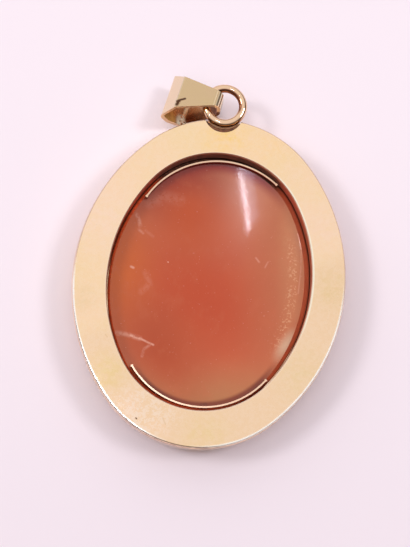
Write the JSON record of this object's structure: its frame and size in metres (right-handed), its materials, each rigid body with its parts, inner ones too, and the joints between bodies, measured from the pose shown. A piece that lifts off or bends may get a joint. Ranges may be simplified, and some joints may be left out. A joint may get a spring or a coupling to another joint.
{
  "type": "cameo pendant",
  "caption": "Oval cameo pendant lying face down: hollow gold frame with a soldered ring, carved shell, holding strips and a tapered sheet bail.",
  "frame": {"origin": "middle of the oval frame, at the level that the front's crest rests on", "axes": "+X across the frame, +Y along its length to the ring, +Z out of the flat back plate"},
  "size_m": [0.034, 0.047, 0.006],
  "materials": {
    "gold": "polished gold, worn",
    "shell": "carved shell, satin"
  },
  "bodies": {
    "pendant": {"frame": "gold", "cameo": "shell", "upper_strip": "gold", "lower_strip": "gold"},
    "loop": {"bail": "gold"}
  },
  "joints": [
    {"name": "bail_swing", "type": "hinge", "parent": "pendant", "child": "loop", "pos_m": [-0.0016, 0.02278, 0.00445], "axis": [0, 0, 1], "range_deg": [-170, 8]}
  ]
}
